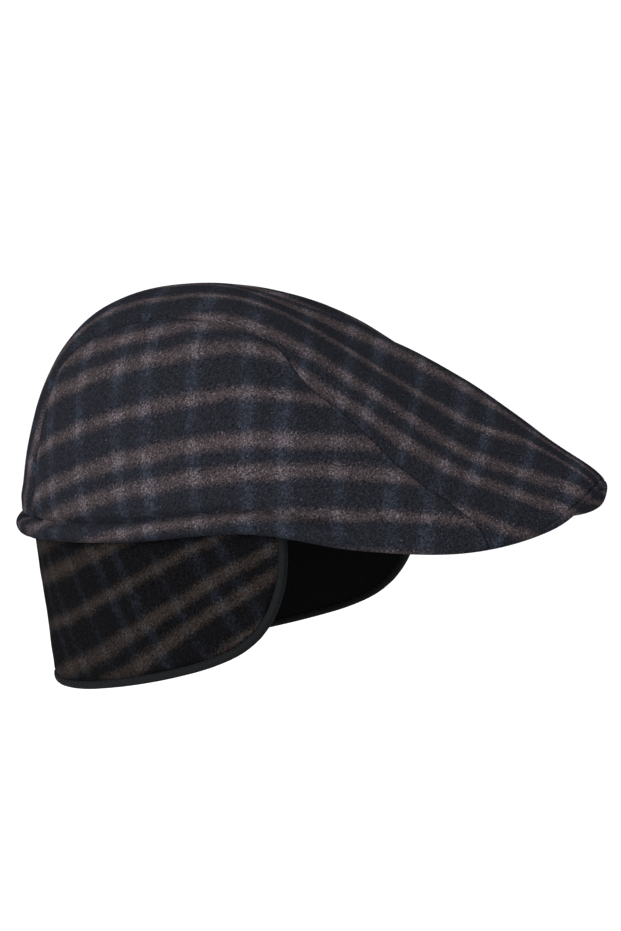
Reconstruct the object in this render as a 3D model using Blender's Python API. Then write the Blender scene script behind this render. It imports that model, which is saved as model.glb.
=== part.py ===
"""Earflap cap: a duckbill cap in brushed plaid wool with a band of cloth that hangs round the ears and nape.

Metres, +Z up. The peak points to -Y and the wearer's right is -X. The origin is the middle of the head
opening, level with the hem over the ears. Angles are in degrees round the cap, from 0 at the middle of the
back to 180 at the tip of the peak, with the wearer's right side counted positive.
"""

from bisect import bisect_right
from math import atan2, copysign, cos, degrees, exp, hypot, pi, radians, sin, sqrt

import bmesh
import bpy
from mathutils import Vector

# Outline of the cap seen from above
BACK_REACH = 0.1037
FRONT_REACH = 0.1508
HALF_WIDTH = 0.091
WIDEST_AHEAD = 0.024
FRONT_TAPER = 0.08

# Crown
CROWN_HEIGHT = 0.093
CROWN_TOP_BACK = 0.025
CLOTH_WALL = 0.0025
HEM_FOLD_WALL = 0.005
HEM_WIDTH = 0.009
HEM_FOLD_END = 1.5
HEM_ROLL = 0.0012
HEM_FADE = 12
HEM_FADE_END = 118
CLEARANCE = 0.0003

# Head opening and the underside of the peak
OPENING_FRONT = 0.098
OPENING_HALF_WIDTH = 0.079
OPENING_WIDEST_AHEAD = 0.010
UNDER_PEAK_WALL = 0.002

# Ear flap
FLAP_DROP = 0.077
FLAP_TUCK = 0.008
FLAP_DRAW_IN = 0.010
FLAP_WALL = 0.0018
LINING_WALL = 0.0012
BINDING_RADIUS = 0.002

# Profile of the crown, from the rim up to its top, at each angle. rim and rise are shares of CROWN_HEIGHT: the
# height of the rim, and how steeply the cloth leaves it. lean and reach are shares of the outline's distance
# from the crown's top: how far the cloth leans out as it leaves the rim, and how far out it turns level.
PROFILE = {
    "angle": (0, 35, 70, 95, 115, 135, 157, 180),
    "rim": (-0.12, -0.135, -0.075, -0.006, -0.059, -0.070, 0.011, 0.150),
    "rise": (0.82, 0.74, 0.665, 0.595, 0.495, 0.37, 0.16, 0.16),
    "lean": (0.0, 0.0, -0.035, -0.07, -0.10, -0.095, -0.05, 0.0),
    "reach": (0.63, 0.68, 0.68, 0.705, 0.65, 0.505, 0.39, 0.32),
}

# The long seam between the centre panel and a side panel, from the hem at the back to the rim of the peak.
# up is the share of the way along the profile, from 0 at the rim to 1 at the crown's top.
SEAM = {
    "angle": (35, 36, 36, 35, 34, 38, 45, 55, 66, 78, 90, 101, 109, 111, 114, 120, 126, 131, 136, 139, 139.5),
    "up": (0, 0.10, 0.20, 0.31, 0.42, 0.50, 0.565, 0.62, 0.655, 0.665, 0.645, 0.62, 0.57, 0.505, 0.44, 0.365,
           0.262, 0.20, 0.145, 0.08, 0),
}

# Soft hollows in the cloth, on both sides alike: depth in shares of CROWN_HEIGHT, and size as a share of the
# way from the rim to the crown's top.
HOLLOWS = {
    "angle": (112, 180),
    "up": (0.47, 0.27),
    "depth": (0.028, 0.034),
    "size": (0.12, 0.14),
}

# Height of the peak's root, where the underside meets the head opening, in shares of CROWN_HEIGHT
PEAK_ROOT = {
    "angle": (103, 115, 135, 157, 180),
    "height": (-0.005, -0.01, 0.03, 0.11, 0.18),
}
PEAK_START = 103.5
OPENING_START = 113

# Edge of the ear flap from the front of the ear, down, round a corner and along the bottom to the middle of
# the back. drop is a share of FLAP_DROP.
FLAP_EDGE = {
    "angle": (100.5, 101, 101, 100.3, 98.3, 95.3, 91, 85, 78, 70, 60, 48, 34, 17, 0),
    "drop": (0, 0.10, 0.20, 0.31, 0.44, 0.54, 0.635, 0.715, 0.78, 0.84, 0.90, 0.955, 0.99, 1.0, 1.0),
}
FLAP_CORNER_ROW = 5

# Row of the seam's table where it turns from the back edge of the side panel to its top edge
SEAM_CROOK_ROW = 4

# How finely each cloth is divided. Heights up a side panel crowd together over the folded hem.
PANEL_HEIGHTS = (0, 0.025, 0.05, 0.075, 0.11, 0.18, 0.29, 0.42, 0.56, 0.7, 0.85, 1)
PANEL_COLUMNS = 26
CENTRE_COLUMNS = 12
UNDER_PEAK_FACES = (26, 5)
FLAP_FACES = (34, 8)


def curve_through(knots, values, level_ends=False):
    """Smooth curve through the rows of a table, as a function of the knots' column."""
    rows = range(len(knots) - 1)
    steps = [(values[row + 1] - values[row]) / (knots[row + 1] - knots[row]) for row in rows]
    slopes = [(before + after) / 2 for before, after in zip(steps, steps[1:])]
    slopes = [0.0, *slopes, 0.0] if level_ends else [steps[0], *slopes, steps[-1]]

    def value(place):
        row = min(max(bisect_right(knots, place) - 1, 0), len(steps) - 1)
        width = knots[row + 1] - knots[row]
        part = (place - knots[row]) / width
        rise = values[row + 1] - values[row]
        bend_in = slopes[row] * width - rise
        bend_out = rise - slopes[row + 1] * width
        return values[row] + part * rise + part * (1 - part) * ((1 - part) * bend_in + part * bend_out)

    return value


def folded(angle):
    """Angle on the right half of the cap that mirrors any angle."""
    return abs((angle + 180) % 360 - 180)


rim_at, rise_at, lean_at, reach_at = (
    curve_through(PROFILE["angle"], PROFILE[name], level_ends=True)
    for name in ("rim", "rise", "lean", "reach")
)
peak_root_at = curve_through(PEAK_ROOT["angle"], PEAK_ROOT["height"], level_ends=True)
SEAM_ROWS = len(SEAM["angle"]) - 1
seam_angle_at, seam_up_at = (curve_through(range(SEAM_ROWS + 1), SEAM[name]) for name in ("angle", "up"))
FLAP_ROWS = len(FLAP_EDGE["angle"]) - 1
flap_angle_at, flap_drop_at = (
    curve_through(range(FLAP_ROWS + 1), FLAP_EDGE[name]) for name in ("angle", "drop")
)


def outline(angle, front=FRONT_REACH, half=HALF_WIDTH, widest=WIDEST_AHEAD):
    """Point (x, y) of an egg-shaped outline, with y negative towards the peak."""
    turn = radians(angle)
    reach = BACK_REACH + widest if cos(turn) > 0 else front - widest
    ahead = widest - reach * cos(turn)
    return -half * sin(turn) * (1 - FRONT_TAPER * ((1 - cos(turn)) / 2) ** 2), -ahead


def crown_smooth(angle, up):
    """Point of the crown's outer face before any hollow."""
    x, y = outline(angle)
    rim, rise, lean, reach = (curve(folded(angle)) for curve in (rim_at, rise_at, lean_at, reach_at))
    start = (1 - up) ** 3
    leave = 3 * up * (1 - up) ** 2
    level = 3 * up * up * (1 - up)
    out = start + leave * (1 + lean) + level * reach
    z = start * rim + leave * (rim + rise) + level + up ** 3
    return Vector((x * out, CROWN_TOP_BACK + (y - CROWN_TOP_BACK) * out, z * CROWN_HEIGHT))


def on_disk(angle, up):
    """Flat map of the crown: the rim is the unit circle and the crown's top its middle."""
    turn = radians(angle)
    return (1 - up) * sin(turn), (1 - up) * cos(turn)


def from_disk(across, back):
    return degrees(atan2(across, back)), 1 - hypot(across, back)


def crown_normal(angle, up):
    """Outward direction of the crown's smooth face."""
    step = 1e-4
    across, back = on_disk(angle, min(up, 1 - 2 * step))
    right = crown_smooth(*from_disk(across + step, back)) - crown_smooth(*from_disk(across - step, back))
    rear = crown_smooth(*from_disk(across, back + step)) - crown_smooth(*from_disk(across, back - step))
    return rear.cross(right).normalized()


def share_up(angle, height):
    """Share of the way up the profile at which the cloth is a given height above its rim."""
    return height / (3 * rise_at(folded(angle)) * CROWN_HEIGHT)


def hem_fade(angle):
    """1 where the side panel's hem is folded, fading to 0 where the peak begins."""
    return min(max((HEM_FADE_END - folded(angle)) / HEM_FADE, 0.0), 1.0)


def hem_share(angle, up):
    """1 within the folded hem and 0 above its stitching."""
    return hem_fade(angle) * min(max(HEM_FOLD_END - up / share_up(angle, HEM_WIDTH), 0.0), 1.0)


def hem_bulge(angle, up):
    """Roll of the folded hem, from its lower edge to the groove that its stitching pulls in."""
    height = min(max(up / share_up(angle, HEM_WIDTH), 0.0), 1.0)
    return HEM_ROLL * hem_fade(angle) * sqrt(max(sin(pi * height), 0.0))


def hollow_depth(angle, up):
    """Depth of the soft hollows at a point of the crown."""
    depth = 0.0
    across, back = on_disk(folded(angle), up)
    for hollow_angle, hollow_up, deep, size in zip(*HOLLOWS.values()):
        place = on_disk(hollow_angle, hollow_up)
        apart = hypot(across - place[0], back - place[1]) / size
        depth += deep * CROWN_HEIGHT * exp(-apart ** 2)
    return depth


def crown(angle, up, inward=0.0):
    """Point of the crown's outer face, or of a face that lies inward of it."""
    raised = hem_bulge(angle, up) * (1.0 if inward == 0 else 0.0)
    return crown_smooth(angle, up) + crown_normal(angle, up) * (raised - hollow_depth(angle, up) - inward)


def crown_wall(angle, up):
    return CLOTH_WALL + (HEM_FOLD_WALL - CLOTH_WALL) * hem_share(angle, up)


def seam(row):
    """Angle and share up the profile of a point of the right-hand seam, counted in rows of its table."""
    return Vector((seam_angle_at(row), max(seam_up_at(row), 0.0)))


def seam_side(row):
    """Direction across the right-hand seam, in the cloth, away from the centre panel."""
    step = 0.08
    before = crown_smooth(*seam(max(row - step, 0)))
    after = crown_smooth(*seam(min(row + step, SEAM_ROWS)))
    return (after - before).cross(crown_normal(*seam(row))).normalized()


def side_panel_point(u, v, inside):
    """u runs along the hem from the back to the peak, v from the hem up to the seam.

    The panel is a four-sided patch, because the long seam is its back edge as well as its top edge.
    """
    hem = Vector((seam(0).x + (seam(SEAM_ROWS).x - seam(0).x) * u, 0))
    crook = seam(SEAM_CROOK_ROW)
    top_row = SEAM_CROOK_ROW + (SEAM_ROWS - SEAM_CROOK_ROW) * u
    back_row = SEAM_CROOK_ROW * v
    back = seam(back_row) - (1 - v) * seam(0) - v * crook
    place = (1 - v) * hem + v * seam(top_row) + (1 - u) * back
    point = crown(*place, inward=crown_wall(*place) if inside else 0.0)
    if u == 0 or v == 1:
        point += seam_side(back_row if u == 0 else top_row) * CLEARANCE / 2
    return point


def centre_panel_point(row, v, inside):
    """row runs along the seams from the back hem to the peak, v from the left seam to the right one.

    Each line across the panel is an arc on the flat map, bowed out to the rim at both ends of the panel.
    """
    across, back = on_disk(*seam(row))
    forward = row / SEAM_ROWS
    bow_back = (1 - on_disk(*seam(0))[1]) * (1 - forward) ** 3
    bow_front = (1 + on_disk(*seam(SEAM_ROWS))[1]) * forward ** 3
    bulge = bow_back - bow_front
    side = 2 * v - 1
    place = (across * side, back + bulge)
    if abs(bulge) > 1e-4:
        radius = (across ** 2 + bulge ** 2) / (2 * bulge)
        arc = copysign(sqrt(radius ** 2 - (across * side) ** 2), radius)
        place = (across * side, back + bulge - radius + arc)
    angle, up = from_disk(*place)
    point = crown(angle, max(up, 0.0), inward=crown_wall(angle, max(up, 0.0)) if inside else 0.0)
    if v in (0, 1):
        away = seam_side(row)
        point -= Vector((away.x * side, away.y, away.z)) * CLEARANCE / 2
    return point


def under_peak_point(u, v, inside):
    """u runs round the peak from the right side to the left, v from the head opening out to the rim."""
    turn = 2 * u - 1
    angle = 180 + turn * (180 - PEAK_START)
    rim_up = share_up(angle, UNDER_PEAK_WALL) if inside else 0.0
    outer = crown(angle, rim_up, inward=crown_wall(angle, rim_up) + CLEARANCE)
    opening_angle = 180 + turn * (180 - OPENING_START)
    x, y = outline(opening_angle, OPENING_FRONT, OPENING_HALF_WIDTH, OPENING_WIDEST_AHEAD)
    height = peak_root_at(folded(angle)) * CROWN_HEIGHT + (UNDER_PEAK_WALL if inside else 0.0)
    return Vector((x, y, height)).lerp(outer, v)


def rim_height(angle):
    return rim_at(folded(angle)) * CROWN_HEIGHT


def flap_place(angle, drop, inward):
    """Point of the flap at a drop below the origin: tucked inside the hem, hanging free below the rim."""
    above = -drop - rim_height(angle)
    up = share_up(angle, max(above, 0.0))
    base = crown(angle, up, inward=HEM_FOLD_WALL + CLEARANCE + inward)
    hang = max(-above, 0.0)
    side = crown_normal(angle, up)
    side.z = 0
    return base - Vector((0, 0, hang)) - side.normalized() * FLAP_DRAW_IN * hang / FLAP_DROP


def flap_edge(row, inset):
    """Angle and drop of the flap's edge, counted in rows of its table, and moved in by an inset.

    The front edge is stretched upwards, so that it starts at the flap's top, tucked inside the hem.
    """
    step = 0.05
    before, after = max(row - step, 0), min(row + step, FLAP_ROWS)
    angle = flap_angle_at(row)
    metres_per_degree = (crown_smooth(angle + 1, 0) - crown_smooth(angle, 0)).xy.length
    run = Vector((
        (flap_angle_at(after) - flap_angle_at(before)) * metres_per_degree,
        (flap_drop_at(after) - flap_drop_at(before)) * FLAP_DROP,
    )).normalized()
    tuck = (FLAP_TUCK + rim_height(angle)) * max(1 - row / FLAP_CORNER_ROW, 0)
    drop = flap_drop_at(row) * FLAP_DROP - tuck
    return Vector((angle - inset * run.y / metres_per_degree, drop + inset * run.x))


def flap_map(u, v, inset):
    """Four-sided map of the flap onto angle and drop: u from its left front edge to its right one, v down."""
    side = 2 * u - 1
    share = abs(side)
    top_corner = flap_edge(0, inset)
    low_corner = flap_edge(FLAP_CORNER_ROW, inset)
    front = flap_edge(v * FLAP_CORNER_ROW, inset)
    top_angle = top_corner.x * share
    top = Vector((top_angle, top_corner.y + rim_height(top_corner.x) - rim_height(top_angle)))
    bottom = flap_edge(FLAP_ROWS - share * (FLAP_ROWS - FLAP_CORNER_ROW), inset)
    place = (1 - v) * top + v * bottom + share * (front - (1 - v) * top_corner - v * low_corner)
    return copysign(place.x, side), place.y


def flap_cloth_point(outer, wall):
    """Places a cloth of the flap whose outer face lies a depth inward of the flap's face."""
    inset = 2 * BINDING_RADIUS + CLEARANCE

    def place(u, v, inside):
        angle, drop = flap_map(u, v, inset)
        return flap_place(angle, drop, outer + (wall if inside else 0.0))

    return place


def material(name, colour, roughness):
    made = bpy.data.materials.new(name)
    made.use_nodes = True
    shader = made.node_tree.nodes["Principled BSDF"]
    shader.inputs["Base Color"].default_value = (*colour, 1)
    shader.inputs["Roughness"].default_value = roughness
    made.diffuse_color = (*colour, 1)
    return made


def add_part(name, mesh, finish):
    part = bpy.data.objects.new(name, mesh)
    bpy.data.collections["earflap_cap"].objects.link(part)
    mesh.materials.clear()
    mesh.materials.append(finish)
    mesh.shade_smooth()
    mesh.set_sharp_from_angle(angle=radians(50))
    return part


def shares(count):
    return [step / count for step in range(count + 1)]


def cloth(name, columns, rows, place, finish, mirrored=False):
    """A cloth with a real wall: a grid for its outer face and one for its inner face, bridged at the edge."""
    model = bmesh.new()
    last_column, last_row = len(columns) - 1, len(rows) - 1
    for inside in (False, True):
        made = bmesh.ops.create_grid(model, x_segments=last_column, y_segments=last_row, size=1)["verts"]
        for vertex in made:
            column = round((vertex.co.x + 1) / 2 * last_column)
            row = round((vertex.co.y + 1) / 2 * last_row)
            vertex.co = place(columns[column], rows[row], inside)
        if inside:
            inner = {face for vertex in made for face in vertex.link_faces}
            bmesh.ops.reverse_faces(model, faces=list(inner))
        bmesh.ops.remove_doubles(model, verts=made, dist=1e-5)
    border = [edge for edge in model.edges if edge.is_boundary]
    bmesh.ops.bridge_loops(model, edges=border)
    if mirrored:
        bmesh.ops.scale(model, vec=(-1, 1, 1), verts=model.verts)
    bmesh.ops.triangulate(model, faces=model.faces)
    if model.calc_volume(signed=True) < 0:
        bmesh.ops.reverse_faces(model, faces=model.faces)
    mesh = bpy.data.meshes.new(name)
    model.to_mesh(mesh)
    model.free()
    return add_part(name, mesh, finish)


def binding(name, finish):
    """The bias tape along the flap's free edge, as a bead as thick as both cloths and the tape round them."""
    curve = bpy.data.curves.new(name, "CURVE")
    curve.dimensions = "3D"
    curve.bevel_depth = BINDING_RADIUS
    curve.bevel_resolution = 2
    curve.use_fill_caps = True
    middle = (FLAP_WALL + CLEARANCE + LINING_WALL) / 2
    front_rows = [FLAP_CORNER_ROW * step / FLAP_FACES[1] for step in range(FLAP_FACES[1])]
    bottom = FLAP_ROWS - FLAP_CORNER_ROW
    bottom_rows = [FLAP_CORNER_ROW + bottom * share for share in shares(FLAP_FACES[0] // 2)]
    edge = [flap_edge(row, BINDING_RADIUS) for row in front_rows + bottom_rows]
    places = [(-angle, drop) for angle, drop in edge]
    places += [(angle, drop) for angle, drop in reversed(edge[:-1])]
    spline = curve.splines.new("POLY")
    spline.points.add(len(places) - 1)
    for point, (angle, drop) in zip(spline.points, places):
        point.co = (*flap_place(angle, drop, middle), 1)
    guide = bpy.data.objects.new(name + "_guide", curve)
    bpy.context.scene.collection.objects.link(guide)
    mesh = bpy.data.meshes.new_from_object(guide.evaluated_get(bpy.context.evaluated_depsgraph_get()))
    bpy.data.objects.remove(guide)
    welded = bmesh.new()
    welded.from_mesh(mesh)
    bmesh.ops.remove_doubles(welded, verts=welded.verts, dist=1e-5)
    bmesh.ops.recalc_face_normals(welded, faces=welded.faces)
    welded.to_mesh(mesh)
    welded.free()
    mesh.name = name
    return add_part(name, mesh, finish)


def build_cap():
    for old in list(bpy.data.objects):
        bpy.data.objects.remove(old, do_unlink=True)
    bpy.context.scene.collection.children.link(bpy.data.collections.new("earflap_cap"))

    wool = material("brushed plaid wool", (0.022, 0.022, 0.028), 0.95)
    flap_wool = material("brushed plaid wool of the flap", (0.020, 0.019, 0.023), 0.95)
    lining = material("black fleece lining", (0.006, 0.006, 0.007), 0.9)
    tape = material("black bias tape", (0.012, 0.012, 0.013), 0.8)

    panel = shares(PANEL_COLUMNS), PANEL_HEIGHTS
    back_rows = [SEAM_CROOK_ROW * height for height in PANEL_HEIGHTS]
    top = SEAM_ROWS - SEAM_CROOK_ROW
    top_rows = [SEAM_CROOK_ROW + top * share for share in shares(PANEL_COLUMNS)[1:]]
    cloth("centre_panel", back_rows + top_rows, shares(CENTRE_COLUMNS), centre_panel_point, wool)
    cloth("side_panel_right", *panel, side_panel_point, wool)
    cloth("side_panel_left", *panel, side_panel_point, wool, mirrored=True)
    cloth("under_peak", *map(shares, UNDER_PEAK_FACES), under_peak_point, wool)
    flap = [shares(count) for count in FLAP_FACES]
    cloth("ear_flap", *flap, flap_cloth_point(0.0, FLAP_WALL), flap_wool)
    cloth("flap_lining", *flap, flap_cloth_point(FLAP_WALL + CLEARANCE, LINING_WALL), lining)
    binding("flap_binding", tape)


build_cap()
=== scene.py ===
"""Looks of the earflap cap: brushed plaid wool, black fleece lining and black bias tape, in a pale studio.

Metres, +Z up. The peak points to -Y and the wearer's right is -X. The form repeats the sizes of the part's
source, and each cloth is drawn much finer here, with its seams, folded hem, stitching and nap. Angles are in
degrees round the cap, from 0 at the middle of the back to 180 at the peak's tip, wearer's right positive.
"""

from bisect import bisect_right
from math import atan2, copysign, cos, degrees, exp, hypot, pi, radians, sin, sqrt

import bmesh
import bpy
from mathutils import Matrix, Vector, noise
from mathutils.geometry import area_tri
from mathutils.kdtree import KDTree


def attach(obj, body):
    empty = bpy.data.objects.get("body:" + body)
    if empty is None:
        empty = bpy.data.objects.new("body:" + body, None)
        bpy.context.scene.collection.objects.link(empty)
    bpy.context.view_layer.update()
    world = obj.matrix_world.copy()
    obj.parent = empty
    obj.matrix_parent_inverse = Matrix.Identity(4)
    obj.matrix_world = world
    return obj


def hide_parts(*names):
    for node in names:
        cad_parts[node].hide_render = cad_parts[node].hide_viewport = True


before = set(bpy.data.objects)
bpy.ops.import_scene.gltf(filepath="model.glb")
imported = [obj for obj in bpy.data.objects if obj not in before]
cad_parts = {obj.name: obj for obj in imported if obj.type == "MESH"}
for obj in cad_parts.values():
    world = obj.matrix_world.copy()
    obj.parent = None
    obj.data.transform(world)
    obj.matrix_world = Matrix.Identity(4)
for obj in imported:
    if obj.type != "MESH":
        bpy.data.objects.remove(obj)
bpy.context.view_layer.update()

# Outline of the cap seen from above
BACK_REACH = 0.1037
FRONT_REACH = 0.1508
HALF_WIDTH = 0.091
WIDEST_AHEAD = 0.024
FRONT_TAPER = 0.08

# Crown
CROWN_HEIGHT = 0.093
CROWN_TOP_BACK = 0.025
CLOTH_WALL = 0.0025
HEM_FOLD_WALL = 0.005
CLEARANCE = 0.0003

# Head opening and the underside of the peak
OPENING_FRONT = 0.098
OPENING_HALF_WIDTH = 0.079
OPENING_WIDEST_AHEAD = 0.010
UNDER_PEAK_WALL = 0.0012

# Ear flap
FLAP_DROP = 0.077
FLAP_TUCK = 0.008
FLAP_DRAW_IN = 0.010
FLAP_WALL = 0.0018
LINING_WALL = 0.0012
BINDING_RADIUS = 0.002

# The same tables as the part's source: crown's profile, long seam, soft hollows, peak's root, flap's edge
PROFILE = {
    "angle": (0, 35, 70, 95, 115, 135, 157, 180),
    "rim": (-0.12, -0.135, -0.075, -0.006, -0.059, -0.070, 0.011, 0.150),
    "rise": (0.82, 0.74, 0.665, 0.595, 0.495, 0.37, 0.16, 0.16),
    "lean": (0.0, 0.0, -0.035, -0.07, -0.10, -0.095, -0.05, 0.0),
    "reach": (0.63, 0.68, 0.68, 0.705, 0.65, 0.505, 0.39, 0.32),
}
SEAM = {
    "angle": (35, 36, 36, 35, 34, 38, 45, 55, 66, 78, 90, 101, 109, 111, 114, 120, 126, 131, 136, 139,
              139.5),
    "up": (0, 0.10, 0.20, 0.31, 0.42, 0.50, 0.565, 0.62, 0.655, 0.665, 0.645, 0.62, 0.57, 0.505, 0.44,
           0.365, 0.262, 0.20, 0.145, 0.08, 0),
}
HOLLOWS = {
    "angle": (112, 180),
    "up": (0.47, 0.27),
    "depth": (0.028, 0.034),
    "size": (0.12, 0.14),
}
PEAK_ROOT = {
    "angle": (103, 115, 135, 157, 180),
    "height": (-0.005, -0.01, 0.03, 0.11, 0.18),
}
PEAK_START = 103.5
OPENING_START = 113
FLAP_EDGE = {
    "angle": (100.5, 101, 101, 100.3, 98.3, 95.3, 91, 85, 78, 70, 60, 48, 34, 17, 0),
    "drop": (0, 0.10, 0.20, 0.31, 0.44, 0.54, 0.635, 0.715, 0.78, 0.84, 0.90, 0.955, 0.99, 1.0, 1.0),
}
FLAP_CORNER_ROW = 5
SEAM_CROOK_ROW = 4

# Folded hem: a soft roll below a groove that its stitching pulls in, fading out where the peak begins
HEM_GROOVE_HEIGHT = 0.0082
HEM_ROLL = 0.0023
HEM_GROOVE = 0.0033
HEM_GROOVE_WIDTH = 0.0011
HEM_FADE = 14
HEM_FADE_END = 118
HEM_EDGE_ROUND = 0.0022
STITCH_PITCH = 0.0036
METRES_PER_DEGREE = 0.0018

# Seams between the panels: how far each edge rounds in, how deep and wide the stitching pulls, and how long
# the puckers are
SEAM_ROUND = 0.0012
SEAM_PULL = 0.0011
SEAM_PULL_WIDTH = 0.0022
PUCKER_LENGTH = 0.009

# Soft unevenness of the wool: height and length, first broad and then fine
BROAD_WAVE = 0.0006, 0.045
FINE_WAVE = 0.00022, 0.014

# The front seam, by which the wool is turned round the peak's edge, as a thin crease. height is counted as
# in share_up, about half of the way along the sloping cloth.
FRONT_SEAM = {
    "angle": (146, 152, 157, 162, 167, 171, 180),
    "height": (0.0, 0.0012, 0.0018, 0.0021, 0.0020, 0.0020, 0.0023),
}
FRONT_SEAM_DEPTH = 0.0007
FRONT_SEAM_WIDTH = 0.00028

# Plaid: both ways a pair of stripes and then a single one, in one repeat
PLAID_REPEAT = 0.056
PAIR_OFF_CENTRE = 0.007
PAIR_HALF_WIDTH = 0.0037
SINGLE_HALF_WIDTH = 0.0029

# The side panel's stripes lie further apart near the hem than near the crown. up is metres on the made cap,
# from the lowest whole stripe, and plaid the same place on the woven cloth.
SIDE_GRAIN = {
    "up": (-0.035, -0.0166, 0.0, 0.0124, 0.0309, 0.0520, 0.0666, 0.095),
    "plaid": (-0.052, -0.028, -0.007, 0.007, 0.028, 0.049, 0.063, 0.091),
}
# The centre panel's stripes close in towards the tip of the peak, and the cross stripes slant back from its
# middle. length is metres along the panel from the back hem, closing how far its stripes have moved in.
PEAK_GRAIN = {
    "length": (0.0, 0.250, 0.279, 0.295, 0.313, 0.335),
    "closing": (0.0, 0.0, 0.005, 0.013, 0.024, 0.036),
}
CROSS_SLANT = 0.43
CROSS_START = 0.208
# The flap hangs stretched, so that its stripes fan out. along, shift and fan are metres on the woven cloth:
# shift moves all the stripes, and fan moves one that lies FAN_REACH above FAN_MIDDLE.
FLAP_GRAIN = {
    "along": (-0.150, -0.085, -0.045, -0.005, 0.035, 0.080),
    "shift": (0.0, -0.0027, 0.0010, 0.0027, 0.0023, 0.0032),
    "fan": (0.0, -0.0046, -0.0028, -0.0001, 0.0044, 0.0087),
}
FAN_MIDDLE = 0.020
FAN_REACH = 0.030
FLAP_TURN = 26
FLAP_SPREAD = 1.2

# Edge of the flap, its tape and the tape's stitches
FLAP_EDGE_ROUND = 0.0016
FLAP_HALF_LENGTH = 0.17
TAPE_HALF_WIDTH = 0.0018
TAPE_HALF_THICK = 0.0023
TAPE_OUT = 0.0003
TAPE_STITCH_PITCH = 0.0034
TAPE_STITCH_LENGTH = 0.0025
TAPE_STITCH_RADIUS = 0.00022
TAPE_STITCH_IN = 0.0009
TAPE_STITCH_HIGH = 0.00205


def curve_through(knots, values, level_ends=False):
    """Smooth curve through the rows of a table, as a function of the knots' column."""
    spans = zip(knots, knots[1:], values, values[1:])
    steps = [(after - before) / (end - start) for start, end, before, after in spans]
    slopes = [(before + after) / 2 for before, after in zip(steps, steps[1:])]
    slopes = [0.0, *slopes, 0.0] if level_ends else [steps[0], *slopes, steps[-1]]

    def value(place):
        row = min(max(bisect_right(knots, place) - 1, 0), len(steps) - 1)
        width = knots[row + 1] - knots[row]
        part = (place - knots[row]) / width
        rise = values[row + 1] - values[row]
        bend_in = slopes[row] * width - rise
        bend_out = rise - slopes[row + 1] * width
        return values[row] + part * rise + part * (1 - part) * ((1 - part) * bend_in + part * bend_out)

    return value


def folded(angle):
    """Angle on the right half of the cap that mirrors any angle."""
    return abs((angle + 180) % 360 - 180)


def blend_in(value, start, end):
    """Soft step from 0 at start to 1 at end."""
    part = min(max((value - start) / (end - start), 0.0), 1.0)
    return part * part * (3 - 2 * part)


rim_at, rise_at, lean_at, reach_at = (
    curve_through(PROFILE["angle"], PROFILE[name], level_ends=True)
    for name in ("rim", "rise", "lean", "reach")
)
peak_root_at = curve_through(PEAK_ROOT["angle"], PEAK_ROOT["height"], level_ends=True)
front_seam_at = curve_through(FRONT_SEAM["angle"], FRONT_SEAM["height"], level_ends=True)
side_grain_at = curve_through(SIDE_GRAIN["up"], SIDE_GRAIN["plaid"])
closing_at = curve_through(PEAK_GRAIN["length"], PEAK_GRAIN["closing"], level_ends=True)
flap_shift_at, flap_fan_at = (
    curve_through(FLAP_GRAIN["along"], FLAP_GRAIN[name]) for name in ("shift", "fan")
)
SEAM_ROWS = len(SEAM["angle"]) - 1
seam_angle_at, seam_up_at = (curve_through(range(SEAM_ROWS + 1), SEAM[name]) for name in ("angle", "up"))
FLAP_ROWS = len(FLAP_EDGE["angle"]) - 1
flap_angle_at, flap_drop_at = (
    curve_through(range(FLAP_ROWS + 1), FLAP_EDGE[name]) for name in ("angle", "drop")
)


def outline(angle, front=FRONT_REACH, half=HALF_WIDTH, widest=WIDEST_AHEAD):
    """Point (x, y) of an egg-shaped outline, with y negative towards the peak."""
    turn = radians(angle)
    reach = BACK_REACH + widest if cos(turn) > 0 else front - widest
    ahead = widest - reach * cos(turn)
    return -half * sin(turn) * (1 - FRONT_TAPER * ((1 - cos(turn)) / 2) ** 2), -ahead


def crown_smooth(angle, up):
    """Point of the crown's outer face before any hollow."""
    x, y = outline(angle)
    rim, rise, lean, reach = (curve(folded(angle)) for curve in (rim_at, rise_at, lean_at, reach_at))
    start = (1 - up) ** 3
    leave = 3 * up * (1 - up) ** 2
    level = 3 * up * up * (1 - up)
    out = start + leave * (1 + lean) + level * reach
    z = start * rim + leave * (rim + rise) + level + up ** 3
    return Vector((x * out, CROWN_TOP_BACK + (y - CROWN_TOP_BACK) * out, z * CROWN_HEIGHT))


def on_disk(angle, up):
    """Flat map of the crown: the rim is the unit circle and the crown's top its middle."""
    turn = radians(angle)
    return (1 - up) * sin(turn), (1 - up) * cos(turn)


def from_disk(across, back):
    return degrees(atan2(across, back)), 1 - hypot(across, back)


def crown_normal(angle, up):
    """Outward direction of the crown's smooth face."""
    step = 1e-4
    across, back = on_disk(angle, min(up, 1 - 2 * step))
    right = crown_smooth(*from_disk(across + step, back)) - crown_smooth(*from_disk(across - step, back))
    rear = crown_smooth(*from_disk(across, back + step)) - crown_smooth(*from_disk(across, back - step))
    return rear.cross(right).normalized()


def share_up(angle, height):
    """Share of the way up the profile at which the cloth is a given height above its rim."""
    return height / (3 * rise_at(folded(angle)) * CROWN_HEIGHT)


def hollow_depth(angle, up):
    """Depth of the soft hollows at a point of the crown."""
    depth = 0.0
    across, back = on_disk(folded(angle), up)
    for hollow_angle, hollow_up, deep, size in zip(*HOLLOWS.values()):
        place = on_disk(hollow_angle, hollow_up)
        apart = hypot(across - place[0], back - place[1]) / size
        depth += deep * CROWN_HEIGHT * exp(-apart ** 2)
    return depth


def hem_fade(angle):
    """1 where the side panel's hem is folded, fading to 0 where the peak begins."""
    return blend_in(HEM_FADE_END - folded(angle), 0, HEM_FADE)


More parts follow.
